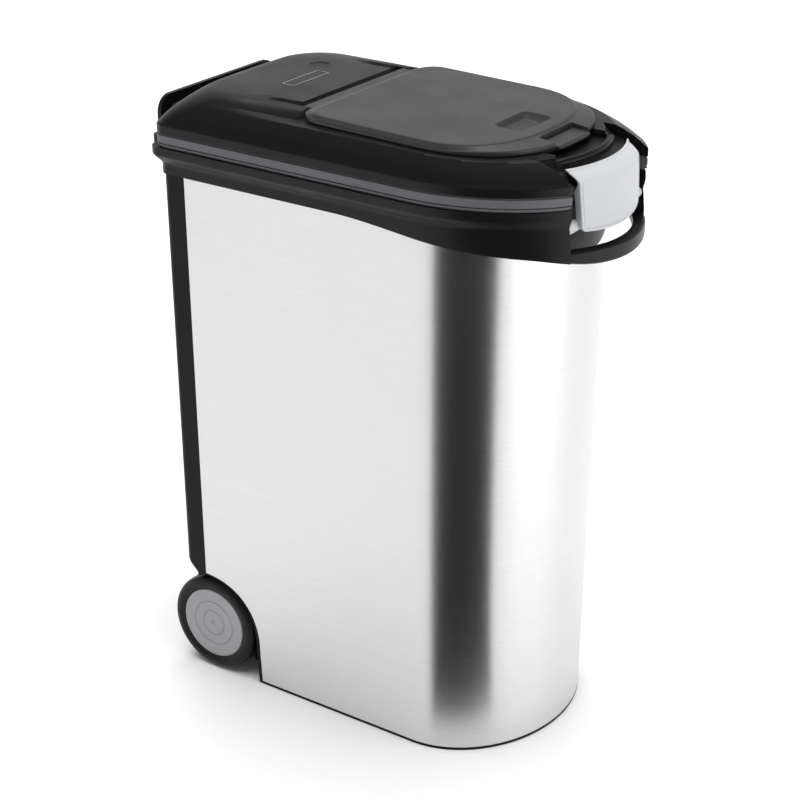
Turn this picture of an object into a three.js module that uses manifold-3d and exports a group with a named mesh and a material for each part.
// Wheeled pet food bin: a tapered tub with a D-shaped plan and a steel wrap, a collar with a
// front grip, a hinged lid with a feeding flap, a front latch and a pair of rear wheels.
// Millimetres, +Z up, the rounded front towards -Y, the wheels at the back, origin on the floor.

import * as THREE from 'three';
import { mergeVertices } from 'three/addons/utils/BufferGeometryUtils.js';
import Module from 'manifold-3d';

const wasm = await Module();
wasm.setup();

// ---------------------------------------------------------------- driving dimensions

const GAP = 0.3;                     // clearance between touching pieces
const FRONT_STEPS = 28;              // straight pieces round a half-elliptic front
const CORNER_STEPS = 4;              // straight pieces round a rear corner

const FRAME_SHIFT_Y = 196.25;         // the tub's back wall stands this far behind the origin

const BASE_HALF_WIDTH = 120.8;       // outside of the steel wrap at the floor
const SIDE_DRAFT = 0.0076;           // side and back walls lean out by this much per mm
const BASE_FRONT_DEPTH = 97.2;       // depth of the half-elliptic front at the floor
const FRONT_DRAFT = 0.0205;
const TUB_FRONT_Y = -281;            // where the straight sides end
const TUB_REAR_Y = 4.8;
const TUB_REAR_RADIUS = 9;
const TUB_TOP = 568.6;
const TUB_WALL = 4.2;
const TUB_FLOOR = 6.5;
const BASE_RECESS = 2.5;

const SHEET = 0.9;                   // thickness of the steel wrap
const WRAP_BOTTOM = 3;
const WRAP_TOP = 542;
const WRAP_REAR_Y = -21.8;            // at the floor; the edge leans back by WRAP_REAR_SLOPE
const WRAP_REAR_SLOPE = 0.0067;

const WELL_INNER_X = 88;             // inner wall of the wheel wells
const WELL_LIP = 4;                  // the tub shows this far inside the steel's wheel arch
const CHAMBER_CLEARANCE = 6;         // the walls round the axle end this far above the floor
const AXLE_Y = -30;
const AXLE_Z = 53.5;
const AXLE_RADIUS = 5;
const AXLE_BORE = 5.4;
const AXLE_HALF_LENGTH = 118.6;
const WHEEL_RADIUS = 52;
const WHEEL_INNER_X = 92;
const WHEEL_OUTER_X = 124.6;
const HUB_CAP_RADIUS = 38.5;
const HUB_PLATE_X = 113.5;           // outer face of the wheel's web, under the hub cap
const WHEEL_SEGMENTS = 36;

const RIM_FRONT_Y = -279;            // rim outline shared by the collar, the seal and the lid
const RIM_HALF_WIDTH = 133;
const RIM_FRONT_DEPTH = 153.7;
const RIM_REAR_Y = 13.8;
const RIM_REAR_RADIUS = 16;

const COLLAR_TOP = 569;
const COLLAR_WALL = 3.5;
const COLLAR_REAR_RADIUS = 13;
const WEB_BOTTOM = 565.5;            // underside of the collar's top web over the finger gap
const INNER_SKIRT_BOTTOM = 515;
const INNER_SKIRT_WALL = 1.6;
const GRIP_TOP = 529;                // top of the grip bar
const GRIP_THICKNESS = 12;

const POCKET_HALF_WIDTH = 67;        // recess at the front that the latch sits in
const POCKET_CENTRE_Y = -288;        // centre of the arcs of the latch and its pocket
const POCKET_RADIUS = 119;
const LID_NOSE_RADIUS = 118.4;
const RIDGE_RADIUS = 103;            // inner side of the ridge between the flap and the latch
const RIDGE_Z = 605;
const VALLEY_RADIUS = 110;           // outer side of the ridge, where the latch's valley starts
const VALLEY_Z = 596.5;
const TROUGH_RADIUS = 76;            // finger trough under the flap's pull lip
const TROUGH_HALF_WIDTH = 44;
const TROUGH_Z = 601;

const SHELF_BOTTOM = 557;
const SHELF_TOP = 568;
const SHELF_HALF_WIDTH = 101;
const PLATE_HALF_WIDTH = 90;
const PLATE_FRONT_Y = 37;
const PLATE_BACK_Y = 41.5;
const PLATE_TOP = 603;
const PLATE_CORNER = 17;

const LID_HINGE_Y = 22;
const LID_HINGE_Z = 592;
const LID_HINGE_X = 73;              // middle of each hinge
const HINGE_EYE_RADIUS = 6;
const HINGE_PIN_RADIUS = 2.5;
const HINGE_BORE = 2.9;

const SEAL_BOTTOM = 569.4;
const SEAL_TOP = 582.2;
const SEAL_WIDTH = 9;

const LID_BOTTOM = 582.6;
const LID_WALL = 3;
const LID_FRONT_RATIO = 1.97;        // the lid's front slope runs this much longer than its sides
const LID_REAR_RATIO = 0.48;
// How far the lid's surface has come in from the rim, and its height there.
const LID_PROFILE = [
  [0, LID_BOTTOM], [0, 591], [1.6, 593.4], [6, 598], [13, 604],
  [21, 609.4], [27, 612.2], [33, 615.8], [39, 618.4], [46, 619.6],
];

const FLAP_HINGE_Y = -131.5;
const FLAP_HINGE_Z = 615.8;
const FLAP_TILT = THREE.MathUtils.degToRad(1.4);
const FLAP_HALF_WIDTH = 104.5;
const FLAP_REAR = -7.5;              // the flap's own frame has its origin on its hinge
const FLAP_FRONT_START = -137.5;
const FLAP_FRONT_DEPTH = 103;
const FLAP_REAR_RADIUS = 22;
const FLAP_UNDERSIDE = -2.2;
const FLAP_RIM_TOP = 3.2;
const FLAP_ROUNDING = 2.35;           // power of the flap's front curve; 2 gives an ellipse
// Up the flap's outside: insets of side, front and rear, then heights of side, front and rear.
const FLAP_LEVELS = [
  [0, 0, 0, -2.2, -2.2, -2.2],
  [0, 0, 0, -0.4, 1.9, 2.4],
  [0.8, 1, 0.6, 0.1, 2.6, 3],
  [1.8, 22.5, 6.8, 4.8, 4.6, 4.4],
  [3.2, 24.5, 8.5, 5.8, 5.8, 5.8],
];
const FLAP_RING_INSET = 22;          // width of the thick ring round the flap's underside
const FLAP_SEAL_WIDTH = 3;
const FLAP_SEAL_BOTTOM = -4.4;
const BARREL_HALF_LENGTH = 80.8;
const BARREL_RADIUS = 3.4;
const ROD_RADIUS = 1.6;
const ROD_BORE = 2;
const ROD_HALF_LENGTH = 92;
const FLAP_SEAT = -2.6;              // lid surface under the flap, in the flap's frame
const MOUTH_HALF_WIDTH = 86;         // feeding opening in the lid

const LATCH_HINGE_Y = -403;
const LATCH_HINGE_Z = 548.5;
const LATCH_LUG_RADIUS = 5.5;
const LATCH_PIN_RADIUS = 2;
const LATCH_STEPS = 12;
// Section of the latch: distance from the pocket's centre, and height.
const LATCH_PROFILE = [
  [135, 543], [134.8, 566], [133, 589], [131.5, 591.5], [126, 596.5], [121, 600.3],
  [119.9, 598.8], [124.4, 594.4], [129.4, 589.6], [130.6, 587], [132.2, 566], [132.4, 543],
];

// ---------------------------------------------------------------- materials

const BLACK = { color: 0x1d1c1e, roughness: 0.5, metalness: 0 };
const BLACK_SATIN = { color: 0x252426, roughness: 0.42, metalness: 0 };
const STEEL = { color: 0xc9cacc, roughness: 0.3, metalness: 1 };
const PIN_STEEL = { color: 0x9a9c9e, roughness: 0.35, metalness: 1 };
const GREY_RUBBER = { color: 0x77777c, roughness: 0.6, metalness: 0 };
const DARK_GREY = { color: 0x4b4a4c, roughness: 0.45, metalness: 0 };
const SILVER_GREY = { color: 0xc4c5c8, roughness: 0.4, metalness: 0.1 };
const MID_GREY = { color: 0x98989c, roughness: 0.5, metalness: 0 };
const TYRE_BLACK = { color: 0x161617, roughness: 0.55, metalness: 0 };

// ---------------------------------------------------------------- solids

function solidOf(geometry) {
  const bare = geometry.clone();
  bare.deleteAttribute('normal');
  bare.deleteAttribute('uv');
  const merged = mergeVertices(bare, 1e-4);
  return new wasm.Manifold(new wasm.Mesh({
    numProp: 3,
    vertProperties: new Float32Array(merged.attributes.position.array),
    triVerts: new Uint32Array(merged.index.array),
  }));
}

function geometryOf(solid) {
  const mesh = solid.getMesh();
  const geometry = new THREE.BufferGeometry();
  geometry.setAttribute('position', new THREE.BufferAttribute(mesh.vertProperties, 3));
  geometry.setIndex(new THREE.BufferAttribute(mesh.triVerts, 1));
  geometry.computeVertexNormals();
  return geometry;
}

function union(first, ...others) {
  return others.reduce((whole, piece) => whole.add(piece), first);
}

function cut(first, ...others) {
  return others.reduce((whole, piece) => whole.subtract(piece), first);
}

// A closed body through sections with equal numbers of points. The outline is the flat
// form of a section, anticlockwise as seen from beyond the last one.
function loft(sections, outline) {
  const count = outline.length;
  const positions = sections.flat().flatMap((point) => point.toArray());
  const indices = [];
  for (let level = 0; level + 1 < sections.length; level++) {
    for (let i = 0; i < count; i++) {
      const j = (i + 1) % count;
      const low = level * count;
      const high = low + count;
      indices.push(low + i, low + j, high + j);
      indices.push(low + i, high + j, high + i);
    }
  }
  const last = (sections.length - 1) * count;
  for (const [a, b, c] of THREE.ShapeUtils.triangulateShape(outline, [])) {
    indices.push(c, b, a);
    indices.push(last + a, last + b, last + c);
  }
  const geometry = new THREE.BufferGeometry();
  geometry.setAttribute('position', new THREE.Float32BufferAttribute(positions, 3));
  geometry.setIndex(indices);
  return solidOf(geometry);
}

function box(x0, x1, y0, y1, z0, z1) {
  const geometry = new THREE.BoxGeometry(x1 - x0, y1 - y0, z1 - z0);
  geometry.translate((x0 + x1) / 2, (y0 + y1) / 2, (z0 + z1) / 2);
  return solidOf(geometry);
}

// A side view (y along, z up) drawn as a shape and pulled from x0 to x1.
function prismX(shape, x0, x1) {
  const geometry = new THREE.ExtrudeGeometry(shape, {
    depth: x1 - x0, bevelEnabled: false, curveSegments: 10,
  });
  const axes = new THREE.Matrix4().makeBasis(
    new THREE.Vector3(0, 1, 0), new THREE.Vector3(0, 0, 1), new THREE.Vector3(1, 0, 0));
  geometry.applyMatrix4(axes);
  geometry.translate(x0, 0, 0);
  return solidOf(geometry);
}

// A plan outline pulled from z0 to z1.
function prismZ(points, z0, z1) {
  const shape = new THREE.Shape(points.map(([x, y]) => new THREE.Vector2(x, y)));
  const geometry = new THREE.ExtrudeGeometry(shape, { depth: z1 - z0, bevelEnabled: false });
  geometry.translate(0, 0, z0);
  return solidOf(geometry);
}

function moved(solid, matrix) {
  const geometry = geometryOf(solid);
  geometry.applyMatrix4(matrix);
  if (matrix.determinant() < 0) {
    geometry.index.array.reverse();
  }
  return solidOf(geometry);
}

function cylinderX(radius, x0, x1, y, z, segments = 20) {
  const geometry = new THREE.CylinderGeometry(radius, radius, x1 - x0, segments);
  geometry.rotateZ(Math.PI / 2);
  geometry.translate((x0 + x1) / 2, y, z);
  return solidOf(geometry);
}

function cylinderZ(radius, x, y, z0, z1, segments = 72) {
  const geometry = new THREE.CylinderGeometry(radius, radius, z1 - z0, segments);
  geometry.rotateX(Math.PI / 2);
  geometry.translate(x, y, (z0 + z1) / 2);
  return solidOf(geometry);
}

function mirrored(solid) {
  return moved(solid, new THREE.Matrix4().makeScale(-1, 1, 1));
}

function bothSides(solid) {
  return solid.add(mirrored(solid));
}

// ---------------------------------------------------------------- D-shaped sections

// Plan outline: a half ellipse in front, straight sides and two round rear corners.
function dOutline({ halfWidth, frontDepth, frontY, rearY, rearRadius, power = 2 }) {
  const points = [];
  const reach = (value) => Math.sign(value) * Math.abs(value) ** (2 / power);
  for (let i = 0; i <= FRONT_STEPS; i++) {
    const angle = Math.PI * (1 + i / FRONT_STEPS);
    points.push([
      halfWidth * reach(Math.cos(angle)),
      frontY + frontDepth * reach(Math.sin(angle)),
    ]);
  }
  for (const [side, start] of [[1, 0], [-1, Math.PI / 2]]) {
    for (let i = 0; i <= CORNER_STEPS; i++) {
      const angle = start + (Math.PI / 2) * (i / CORNER_STEPS);
      points.push([
        side * (halfWidth - rearRadius) + rearRadius * Math.cos(angle),
        rearY - rearRadius + rearRadius * Math.sin(angle),
      ]);
    }
  }
  return points;
}

function dLoft(levels) {
  const sections = levels.map(({ z, ...plan }) =>
    dOutline(plan).map(([x, y]) => new THREE.Vector3(x, y, z)));
  const outline = dOutline(levels[0]).map(([x, y]) => new THREE.Vector2(x, y));
  return loft(sections, outline);
}

function tubLevel(z, inset) {
  return {
    z,
    halfWidth: BASE_HALF_WIDTH + SIDE_DRAFT * z - inset,
    frontDepth: BASE_FRONT_DEPTH + FRONT_DRAFT * z - inset,
    frontY: TUB_FRONT_Y,
    rearY: TUB_REAR_Y + SIDE_DRAFT * z - inset,
    rearRadius: Math.max(TUB_REAR_RADIUS - inset, 2),
  };
}

function tubBlock(z0, z1, inset) {
  return dLoft([tubLevel(z0, inset), tubLevel(z1, inset)]);
}

function rimLevel(z, inset) {
  return {
    z,
    halfWidth: RIM_HALF_WIDTH - inset,
    frontDepth: RIM_FRONT_DEPTH - inset,
    frontY: RIM_FRONT_Y,
    rearY: RIM_REAR_Y - inset,
    rearRadius: RIM_REAR_RADIUS - Math.min(inset, RIM_REAR_RADIUS - 3),
  };
}

// What lies outside an arc round the pocket's centre, at the front of the bin.
function frontBeyondArc(radius, halfWidth, z0, z1) {
  const block = box(-halfWidth, halfWidth, -470, -360, z0, z1);
  return block.subtract(cylinderZ(radius, 0, POCKET_CENTRE_Y, z0 - 1, z1 + 1));
}

// ---------------------------------------------------------------- tub and wrap

// Side view of a wheel well: up the front leg, over the wheel, past the foot of the column.
function wheelWellShape(lip) {
  const shape = new THREE.Shape();
  shape.moveTo(lip - 92, -1);
  shape.lineTo(lip - 90, 40);
  shape.bezierCurveTo(lip - 90, 84, -62, 110 - lip / 2, -20, 110 - lip / 2);
  shape.lineTo(-14, 104.5);
  shape.lineTo(-10.5, 103.5);
  shape.lineTo(-10.5, 108);
  shape.lineTo(5, 123);
  shape.lineTo(30, 123);
  shape.lineTo(30, -1);
  return shape;
}

function wheelWells(lip) {
  return bothSides(prismX(wheelWellShape(lip), WELL_INNER_X, 150));
}

// Everything behind the wrap's rear edges.
function behindWrap(gap) {
  const shape = new THREE.Shape();
  const edge = (z) => WRAP_REAR_Y + WRAP_REAR_SLOPE * z - gap;
  shape.moveTo(edge(0), 0);
  shape.lineTo(60, 0);
  shape.lineTo(60, 600);
  shape.lineTo(edge(600), 600);
  return prismX(shape, -150, 150);
}

function wrapPocket() {
  const shell = cut(
    tubBlock(WRAP_BOTTOM, WRAP_TOP, -2),
    tubBlock(WRAP_BOTTOM - 1, WRAP_TOP + 1, SHEET + GAP),
  );
  return cut(shell, behindWrap(0), wheelWells(2 * GAP));
}

function tubInside() {
  const cavity = tubBlock(TUB_FLOOR, TUB_TOP + 1, TUB_WALL);
  const wheelHousings = bothSides(box(WELL_INNER_X - TUB_WALL, 150, -96, 30, 0, 125));
  const axleHousing = box(-WELL_INNER_X, WELL_INNER_X, -60, 30, 0, 76);
  return cut(cavity, wheelHousings, axleHousing);
}

function axleChamber() {
  const half = box(2, WELL_INNER_X - 3.5, -48.5, -4, -1, 72.5);
  const reach = WELL_INNER_X + 1;
  return union(bothSides(half), box(-reach, reach, -56, 60, -1, CHAMBER_CLEARANCE));
}

function makeTub() {
  const baseRecess = tubBlock(-1, BASE_RECESS, 12).subtract(box(-150, 150, -104, 60, -2, 10));
  return cut(
    tubBlock(0, TUB_TOP, 0),
    wrapPocket(),
    tubInside(),
    axleChamber(),
    baseRecess,
    wheelWells(WELL_LIP),
    cylinderX(AXLE_BORE, -130, 130, AXLE_Y, AXLE_Z, 24),
  );
}

function makeWrap() {
  const low = WRAP_BOTTOM + GAP;
  const high = WRAP_TOP - GAP;
  return cut(
    tubBlock(low, high, 0),
    tubBlock(low - 1, high + 1, SHEET),
    behindWrap(GAP),
    wheelWells(0),
  );
}

// ---------------------------------------------------------------- collar

function collarLevel([z, halfWidth, frontDepth, rearY], inset) {
  return {
    z,
    halfWidth: halfWidth - inset,
    frontDepth: frontDepth - inset,
    frontY: RIM_FRONT_Y,
    rearY: rearY - inset,
    rearRadius: COLLAR_REAR_RADIUS,
  };
}

// Height, half width, depth of the front and how far back the collar reaches.
const COLLAR_PROFILE = [
  [500, 127, 155, 11.8],
  [GRIP_TOP, 127.1, 155, 11.8],
  [544, 127.3, 153.6, 12],
  [551, 127.4, 152.4, 12],
  [556.5, 130.8, 152.2, 15.4],
  [559.5, 133.2, 152, 17],
  [562, 134.4, 151.9, 18],
  [COLLAR_TOP, 134.5, 151.5, 18],
];

// Side view of the collar's lower edge, level along the sides and falling to the front.
const SKIRT_EDGE = [
  [60, 541.4], [-200, 541.4], [-220, 540.4], [-240, 539], [-260, 537.2], [-280, 535.2],
  [-302, 533], [-340, 529.4], [-372, 526.4], [-388, 524.6], [-400, 521.8], [-412, 518.4],
  [-422, 515.4], [-434, 512.6], [-450, 510],
];

function belowSkirt() {
  const shape = new THREE.Shape();
  shape.moveTo(60, 480);
  for (const [y, z] of SKIRT_EDGE) {
    shape.lineTo(y, z);
  }
  shape.lineTo(-450, 480);
  return prismX(shape, -150, 150);
}

// The hollow between the tub's front wall and the collar, which the fingers use.
function fingerGap() {
  const [low, gripTop, skirtTop, , broad] = COLLAR_PROFILE;
  const behindGrip = dLoft([
    { ...collarLevel(low, GRIP_THICKNESS), z: 490 }, collarLevel(gripTop, GRIP_THICKNESS),
  ]);
  const aboveGrip = dLoft([
    { ...collarLevel(gripTop, COLLAR_WALL), z: GRIP_TOP - 0.1 },
    collarLevel(skirtTop, COLLAR_WALL),
    { ...collarLevel(broad, COLLAR_WALL), z: WEB_BOTTOM },
  ]);
  const cheeks = bothSides(box(POCKET_HALF_WIDTH, POCKET_HALF_WIDTH + 4, -470, -300, 480, 600));
  return cut(
    behindGrip.add(aboveGrip),
    box(-150, 150, -305, 60, 480, 600),
    cheeks,
  );
}

// A skirt inside the finger gap, in front of the tub's wall.
function innerSkirt() {
  const clearance = GAP + 0.05;
  return cut(
    tubBlock(INNER_SKIRT_BOTTOM, WEB_BOTTOM + 1, -clearance - INNER_SKIRT_WALL),
    tubBlock(480, 600, -clearance),
    box(-150, 150, -305, 60, 480, 600),
    bothSides(box(POCKET_HALF_WIDTH + 2, 150, -480, -300, 480, 600)),
  );
}

function hingeBracketShape() {
  const shape = new THREE.Shape();
  const low = SHELF_TOP - 2;
  shape.moveTo(LID_HINGE_Y - HINGE_EYE_RADIUS, low);
  shape.lineTo(LID_HINGE_Y + HINGE_EYE_RADIUS, low);
  shape.lineTo(LID_HINGE_Y + HINGE_EYE_RADIUS, LID_HINGE_Z);
  shape.absarc(LID_HINGE_Y, LID_HINGE_Z, HINGE_EYE_RADIUS, 0, Math.PI, false);
  return shape;
}

function hingeBrackets() {
  const outer = prismX(hingeBracketShape(), LID_HINGE_X + 7, LID_HINGE_X + 11);
  const inner = prismX(hingeBracketShape(), LID_HINGE_X - 11, LID_HINGE_X - 7);
  return bothSides(outer.add(inner));
}

// The rear shelf with its upright plate: a second grip that also guards the lid's hinge.
function rearShelf() {
  const half = SHELF_HALF_WIDTH;
  const shelf = prismZ([
    [-120, -6], [120, -6], [120, 12], [half + 6, 19], [half, 26], [half, PLATE_BACK_Y - 6],
    [half - 1.8, PLATE_BACK_Y - 1.8], [half - 6, PLATE_BACK_Y], [6 - half, PLATE_BACK_Y],
    [1.8 - half, PLATE_BACK_Y - 1.8], [-half, PLATE_BACK_Y - 6], [-half, 26],
    [-half - 6, 19], [-120, 12],
  ], SHELF_BOTTOM, SHELF_TOP);
  return shelf.subtract(box(-50, 50, 21, 33, SHELF_BOTTOM - 5, SHELF_TOP + 5));
}

function rearPlate() {
  const half = PLATE_HALF_WIDTH;
  const shape = new THREE.Shape();
  shape.moveTo(-half, SHELF_BOTTOM + 2);
  shape.lineTo(half, SHELF_BOTTOM + 2);
  shape.lineTo(half, PLATE_TOP - PLATE_CORNER);
  shape.absarc(half - PLATE_CORNER, PLATE_TOP - PLATE_CORNER, PLATE_CORNER, 0, Math.PI / 2, false);
  shape.absarc(PLATE_CORNER - half, PLATE_TOP - PLATE_CORNER, PLATE_CORNER, Math.PI / 2, Math.PI, false);
  const geometry = new THREE.ExtrudeGeometry(shape, {
    depth: PLATE_BACK_Y - PLATE_FRONT_Y, bevelEnabled: false, curveSegments: 6,
  });
  geometry.rotateX(Math.PI / 2);
  geometry.translate(0, PLATE_BACK_Y, 0);
  return solidOf(geometry);
}

function makeCollar() {
  const ring = dLoft(COLLAR_PROFILE.map((level) => collarLevel(level, 0)));
  const body = cut(
    union(ring, rearShelf(), rearPlate()),
    belowSkirt(),
    tubBlock(480, 600, -GAP - 0.05),
    fingerGap(),
    frontBeyondArc(POCKET_RADIUS, POCKET_HALF_WIDTH, GRIP_TOP, 600),
  );
  const latchBores = bothSides(
    cylinderX(LATCH_PIN_RADIUS + GAP, 65, POCKET_HALF_WIDTH + 3, LATCH_HINGE_Y, LATCH_HINGE_Z));
  const hingeBores = bothSides(
    cylinderX(HINGE_PIN_RADIUS + GAP, 50, 95, LID_HINGE_Y, LID_HINGE_Z));
  return cut(union(body, hingeBrackets(), innerSkirt()), latchBores, hingeBores);
}

// ---------------------------------------------------------------- seal

// The gasket shows outside as a thin lip below a broad band.
function makeSeal() {
  const profile = [
    [SEAL_BOTTOM, 2], [570.9, 2], [571, 0.2], [572.6, 0.2], [572.7, 1.6],
    [573.6, 1.6], [573.7, 0], [581.3, 0], [581.4, 1.8], [SEAL_TOP, 1.8],
  ];
  const outer = dLoft(profile.map(([z, inset]) => rimLevel(z, inset)));
  const notchedOuter = outer.subtract(frontBeyondArc(POCKET_RADIUS, POCKET_HALF_WIDTH + 1, 560, 600));
  const hole = dLoft([rimLevel(560, SEAL_WIDTH), rimLevel(590, SEAL_WIDTH)]);
  const notchedHole = hole.subtract(
    frontBeyondArc(POCKET_RADIUS - SEAL_WIDTH, POCKET_HALF_WIDTH + SEAL_WIDTH, 550, 600));
  return notchedOuter.subtract(notchedHole);
}

// ---------------------------------------------------------------- lid

function lidLevel(inset, z) {
  return {
    z,
    halfWidth: RIM_HALF_WIDTH - inset,
    frontDepth: RIM_FRONT_DEPTH - LID_FRONT_RATIO * inset,
    frontY: RIM_FRONT_Y,
    rearY: RIM_REAR_Y - LID_REAR_RATIO * inset,
    rearRadius: RIM_REAR_RADIUS + 0.8 * inset,
  };
}

// A solid made in the flap's frame, moved to where the flap lies on the lid.
function placedAtFlap(solid) {
  const matrix = new THREE.Matrix4().makeRotationX(FLAP_TILT);
  matrix.setPosition(0, FLAP_HINGE_Y, FLAP_HINGE_Z);
  return moved(solid, matrix);
}

// The finger trough, an arc between the flap's front and the ridge.
function lidTrough(margin) {
  const halfWidth = TROUGH_HALF_WIDTH + margin;
  const beyond = frontBeyondArc(TROUGH_RADIUS - margin, halfWidth, TROUGH_Z - margin, 640);
  return beyond.subtract(frontBeyondArc(RIDGE_RADIUS + margin, halfWidth + 1, 590, 650));
}

function lidInside() {
  const levels = LID_PROFILE.slice(2).map(([inset, z]) => lidLevel(inset + LID_WALL, z - LID_WALL));
  const hollow = dLoft([
    lidLevel(LID_WALL, LID_BOTTOM - 2), lidLevel(LID_WALL, LID_BOTTOM + 4), ...levels,
  ]);
  const roofUnderFlap = placedAtFlap(
    box(-150, 150, -300, 11, FLAP_SEAT - LID_WALL, 40));
  const nose = frontBeyondArc(LID_NOSE_RADIUS - LID_WALL, POCKET_HALF_WIDTH + 3, 570, 640);
  const valley = frontBeyondArc(
    RIDGE_RADIUS - LID_WALL, POCKET_HALF_WIDTH + 3, VALLEY_Z - LID_WALL, 640);
  return cut(hollow, roofUnderFlap, lidTrough(LID_WALL), nose, valley);
}

// The feeding opening, a smaller D under the flap.
function lidMouth(halfWidth, z0, z1) {
  const plan = {
    halfWidth,
    frontDepth: halfWidth,
    frontY: FLAP_FRONT_START,
    rearY: -(MOUTH_HALF_WIDTH - halfWidth) - 18,
    rearRadius: 14,
  };
  return placedAtFlap(dLoft([{ z: z0, ...plan }, { z: z1, ...plan }]));
}

function hingeArms() {
  const shape = new THREE.Shape();
  shape.moveTo(0, LID_HINGE_Z - HINGE_EYE_RADIUS);
  shape.absarc(LID_HINGE_Y, LID_HINGE_Z, HINGE_EYE_RADIUS, -Math.PI / 2, Math.PI / 2, false);
  shape.lineTo(0, LID_HINGE_Z + HINGE_EYE_RADIUS);
  const arm = prismX(shape, LID_HINGE_X - 6.5, LID_HINGE_X + 6.5);
  return bothSides(arm);
}

function makeLid() {
  const dome = dLoft(LID_PROFILE.map(([inset, z]) => lidLevel(inset, z)));
  const seat = placedAtFlap(box(-150, 150, -300, FLAP_REAR + 1.8, FLAP_SEAT, 40));
  const barrelTrough = placedAtFlap(
    box(-BARREL_HALF_LENGTH - 0.7, BARREL_HALF_LENGTH + 0.7, FLAP_REAR, 9, -4.4, 40));
  const rodBore = placedAtFlap(cylinderX(ROD_BORE, -94, 94, 0, 0));
  const armBores = bothSides(cylinderX(HINGE_BORE, 50, 95, LID_HINGE_Y, LID_HINGE_Z));
  const shell = cut(
    dome,
    lidInside(),
    seat,
    frontBeyondArc(LID_NOSE_RADIUS, POCKET_HALF_WIDTH, 570, 640),
    frontBeyondArc(RIDGE_RADIUS, POCKET_HALF_WIDTH, RIDGE_Z, 640),
    frontBeyondArc(VALLEY_RADIUS, POCKET_HALF_WIDTH, VALLEY_Z, 640),
    lidTrough(0),
    lidMouth(MOUTH_HALF_WIDTH, -30, 30),
  );
  return cut(shell.add(hingeArms()), barrelTrough, rodBore, armBores);
}

// ---------------------------------------------------------------- flap

function flapOutline(inset, z) {
  return {
    z,
    halfWidth: FLAP_HALF_WIDTH - inset,
    frontDepth: FLAP_FRONT_DEPTH - inset,
    frontY: FLAP_FRONT_START,
    rearY: FLAP_REAR - inset * 0.6,
    rearRadius: FLAP_REAR_RADIUS - 0.5 * inset,
  };
}

// The flap's outside: upright sides, an apron that slopes to the front, a band at the hinge.
function flapShell() {
  const { lerp, smoothstep } = THREE.MathUtils;
  const sections = FLAP_LEVELS.map(([side, front, rear, sideZ, frontZ, rearZ]) =>
    dOutline({
      halfWidth: FLAP_HALF_WIDTH - side,
      frontDepth: FLAP_FRONT_DEPTH - front,
      frontY: FLAP_FRONT_START,
      rearY: FLAP_REAR - rear,
      rearRadius: FLAP_REAR_RADIUS - side,
      power: FLAP_ROUNDING,
    }).map(([x, y]) => {
      const frontBlend = smoothstep(-y, 145, 205);
      const rearBlend = smoothstep(y, -40, -18);
      return new THREE.Vector3(x, y, lerp(lerp(sideZ, frontZ, frontBlend), rearZ, rearBlend));
    }));
  return loft(sections, sections[0].map(({ x, y }) => new THREE.Vector2(x, y)));
}

// A tongue that the fingers lift, in a notch at the middle of the apron.
function pullTongue() {
  const shape = new THREE.Shape();
  shape.moveTo(-222, -2);
  shape.lineTo(-222, 0.3);
  shape.lineTo(-240, 0.3);
  shape.quadraticCurveTo(-243.5, 0.3, -243.5, -2.2);
  shape.quadraticCurveTo(-243.5, -4.7, -240, -4.7);
  shape.lineTo(-234, -4.7);
  shape.lineTo(-234, -2);
  return prismX(shape, -27, 27);
}

function makeFlap() {
  const neck = box(-BARREL_HALF_LENGTH, BARREL_HALF_LENGTH, FLAP_REAR - 3, 0, -1.4, FLAP_RIM_TOP);
  const barrel = cylinderX(BARREL_RADIUS, -BARREL_HALF_LENGTH, BARREL_HALF_LENGTH, 0, 0);
  const underside = dLoft([
    flapOutline(FLAP_RING_INSET, -10), flapOutline(FLAP_RING_INSET, FLAP_RIM_TOP),
  ]);
  const thumbPad = box(-33, 33, -206, -166, FLAP_UNDERSIDE, FLAP_RIM_TOP + 2);
  const recess = new THREE.Shape();
  recess.moveTo(-171.5, 20);
  recess.lineTo(-171.5, 2.6);
  recess.lineTo(-201.5, -0.6);
  recess.lineTo(-201.5, 20);
  const shell = cut(
    flapShell(),
    underside.subtract(thumbPad),
    box(-29, 29, -260, -220, -0.2, 20),
    prismX(recess, -28, 28),
  );
  return cut(
    union(shell, neck, barrel, pullTongue()),
    cylinderX(ROD_BORE, -90, 90, 0, 0),
  );
}

// A gasket under the flap that hangs a little way into the lid's feeding opening.
function makeFlapSeal() {
  const outer = FLAP_RING_INSET + GAP;
  const inner = outer + FLAP_SEAL_WIDTH;
  const top = FLAP_RIM_TOP - GAP;
  const ring = dLoft([flapOutline(outer, FLAP_SEAL_BOTTOM), flapOutline(outer, top)]);
  return ring.subtract(dLoft([flapOutline(inner, -20), flapOutline(inner, 20)]));
}

// ---------------------------------------------------------------- latch

function latchHalfAngle(z) {
  const low = 22.4;
  const crease = 23.7;
  const top = 27.6;
  if (z <= 589) {
    return THREE.MathUtils.degToRad(THREE.MathUtils.mapLinear(z, 543, 589, low, crease));
  }
  return THREE.MathUtils.degToRad(THREE.MathUtils.mapLinear(z, 589, 600.3, crease, top));
}

// Point of an arc round the pocket's centre; the angle is 0 straight ahead.
function arcPoint(radius, angle, z) {
  return new THREE.Vector3(radius * Math.sin(angle), POCKET_CENTRE_Y - radius * Math.cos(angle), z);
}

function arcLoft(profile, turns) {
  const sections = turns.map((turn) =>
    profile.map(([radius, z]) => arcPoint(radius, turn * latchHalfAngle(z), z)));
  return loft(sections, profile.map(([radius, z]) => new THREE.Vector2(radius, z)));
}

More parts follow.
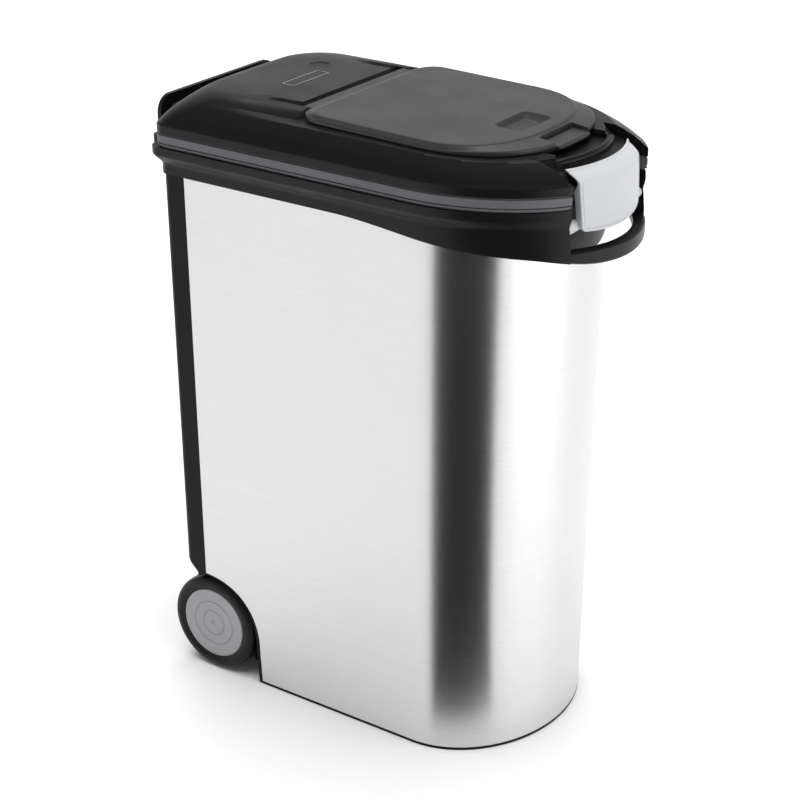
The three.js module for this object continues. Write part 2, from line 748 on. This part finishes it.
function makeLatch() {
  const turns = Array.from({ length: LATCH_STEPS + 1 }, (_, i) => 1 - 2 * i / LATCH_STEPS);
  const face = arcLoft(LATCH_PROFILE, turns);
  const sideProfile = [[133.6, 545], [131.2, 587], [122, 587], [122, 545]];
  const sideWall = arcLoft(sideProfile, [1, 0.95]);
  const lug = cylinderX(LATCH_LUG_RADIUS, 46, POCKET_HALF_WIDTH - 1.5, LATCH_HINGE_Y, LATCH_HINGE_Z);
  const bore = cylinderX(LATCH_PIN_RADIUS + GAP, 52, 70, LATCH_HINGE_Y, LATCH_HINGE_Z);
  return cut(union(face, bothSides(sideWall), bothSides(lug)), bothSides(bore));
}

// ---------------------------------------------------------------- wheels and pins

// A piece turned round the X axis from [radius, distance along the axle] pairs.
function turned(profile, segments = WHEEL_SEGMENTS) {
  const points = profile.map(([radius, x]) => new THREE.Vector2(radius, x));
  const geometry = new THREE.LatheGeometry(points, segments);
  geometry.rotateZ(-Math.PI / 2);
  return solidOf(geometry);
}

function closedProfile(points) {
  return [...points, points[0]];
}

function makeWheel() {
  const rim = HUB_CAP_RADIUS + GAP;
  return turned(closedProfile([
    [AXLE_BORE, 90], [12, 90], [12, 104], [rim, 104], [rim, WHEEL_INNER_X],
    [49, WHEEL_INNER_X], [WHEEL_RADIUS, WHEEL_INNER_X + 4], [WHEEL_RADIUS, WHEEL_OUTER_X - 6],
    [50.5, WHEEL_OUTER_X - 2.5], [47, WHEEL_OUTER_X - 0.4], [43, WHEEL_OUTER_X],
    [rim, WHEEL_OUTER_X - 1.2], [rim, HUB_PLATE_X], [AXLE_BORE, HUB_PLATE_X],
  ]));
}

function makeHubCap() {
  const face = WHEEL_OUTER_X - 1;
  return turned([
    [0, face - 3], [36, face - 3], [36, HUB_PLATE_X + GAP], [HUB_CAP_RADIUS, HUB_PLATE_X + GAP],
    [HUB_CAP_RADIUS, face - 0.6], [HUB_CAP_RADIUS - 1.3, face], [25, face], [24, face - 0.6],
    [23, face], [13.5, face], [12.5, face - 0.6], [11.5, face], [3, face], [0, face - 0.6],
  ]);
}

function makeAxle() {
  return cylinderX(AXLE_RADIUS, -AXLE_HALF_LENGTH, AXLE_HALF_LENGTH, 0, 0, 24);
}

function makeAxleClip() {
  const start = HUB_PLATE_X + 0.8;
  return turned(closedProfile([
    [AXLE_RADIUS + GAP, start], [10, start], [10, start + 1.2], [7.5, start + 2.8],
    [AXLE_RADIUS + GAP, start + 2.8],
  ]), 24);
}

// ---------------------------------------------------------------- assembly

function node(name, solid, look) {
  const mesh = new THREE.Mesh(geometryOf(solid), new THREE.MeshStandardMaterial(look));
  mesh.name = name;
  return mesh;
}

// The same pieces on the right and, turned half round, on the left.
function onEachSide(y, z, pieces) {
  return [['right', 0], ['left', Math.PI]].map(([side, turn]) => {
    const group = new THREE.Group();
    group.position.set(0, y, z);
    group.rotation.z = turn;
    for (const [name, solid, look] of pieces) {
      group.add(node(`${name}_${side}`, solid, look));
    }
    return group;
  });
}

function flapGroup() {
  const group = new THREE.Group();
  group.position.set(0, FLAP_HINGE_Y, FLAP_HINGE_Z);
  group.rotation.x = FLAP_TILT;
  group.add(node('flap', makeFlap(), DARK_GREY));
  group.add(node('flap_seal', makeFlapSeal(), GREY_RUBBER));
  const rod = cylinderX(ROD_RADIUS, -ROD_HALF_LENGTH, ROD_HALF_LENGTH, 0, 0, 12);
  group.add(node('flap_hinge_rod', rod, PIN_STEEL));
  return group;
}

function axleGroup() {
  const group = new THREE.Group();
  group.position.set(0, AXLE_Y, AXLE_Z);
  group.add(node('axle', makeAxle(), PIN_STEEL));
  return group;
}

const lidPin = cylinderX(HINGE_PIN_RADIUS, LID_HINGE_X - 12, LID_HINGE_X + 12, 0, 0);
const latchPin = cylinderX(LATCH_PIN_RADIUS, 56, POCKET_HALF_WIDTH + 2.6, 0, 0);

const bin = new THREE.Group();
bin.position.y = FRAME_SHIFT_Y;
bin.add(node('tub', makeTub(), BLACK));
bin.add(node('steel_wrap', makeWrap(), STEEL));
bin.add(node('collar', makeCollar(), BLACK_SATIN));
bin.add(node('lid_seal', makeSeal(), GREY_RUBBER));
bin.add(node('lid', makeLid(), BLACK_SATIN));
bin.add(node('latch', makeLatch(), SILVER_GREY));
bin.add(flapGroup(), axleGroup());
bin.add(...onEachSide(LID_HINGE_Y, LID_HINGE_Z, [['lid_hinge_pin', lidPin, PIN_STEEL]]));
bin.add(...onEachSide(LATCH_HINGE_Y, LATCH_HINGE_Z, [['latch_pin', latchPin, PIN_STEEL]]));
bin.add(...onEachSide(AXLE_Y, AXLE_Z, [
  ['wheel', makeWheel(), TYRE_BLACK],
  ['hub_cap', makeHubCap(), MID_GREY],
  ['axle_clip', makeAxleClip(), PIN_STEEL],
]));

export default bin;
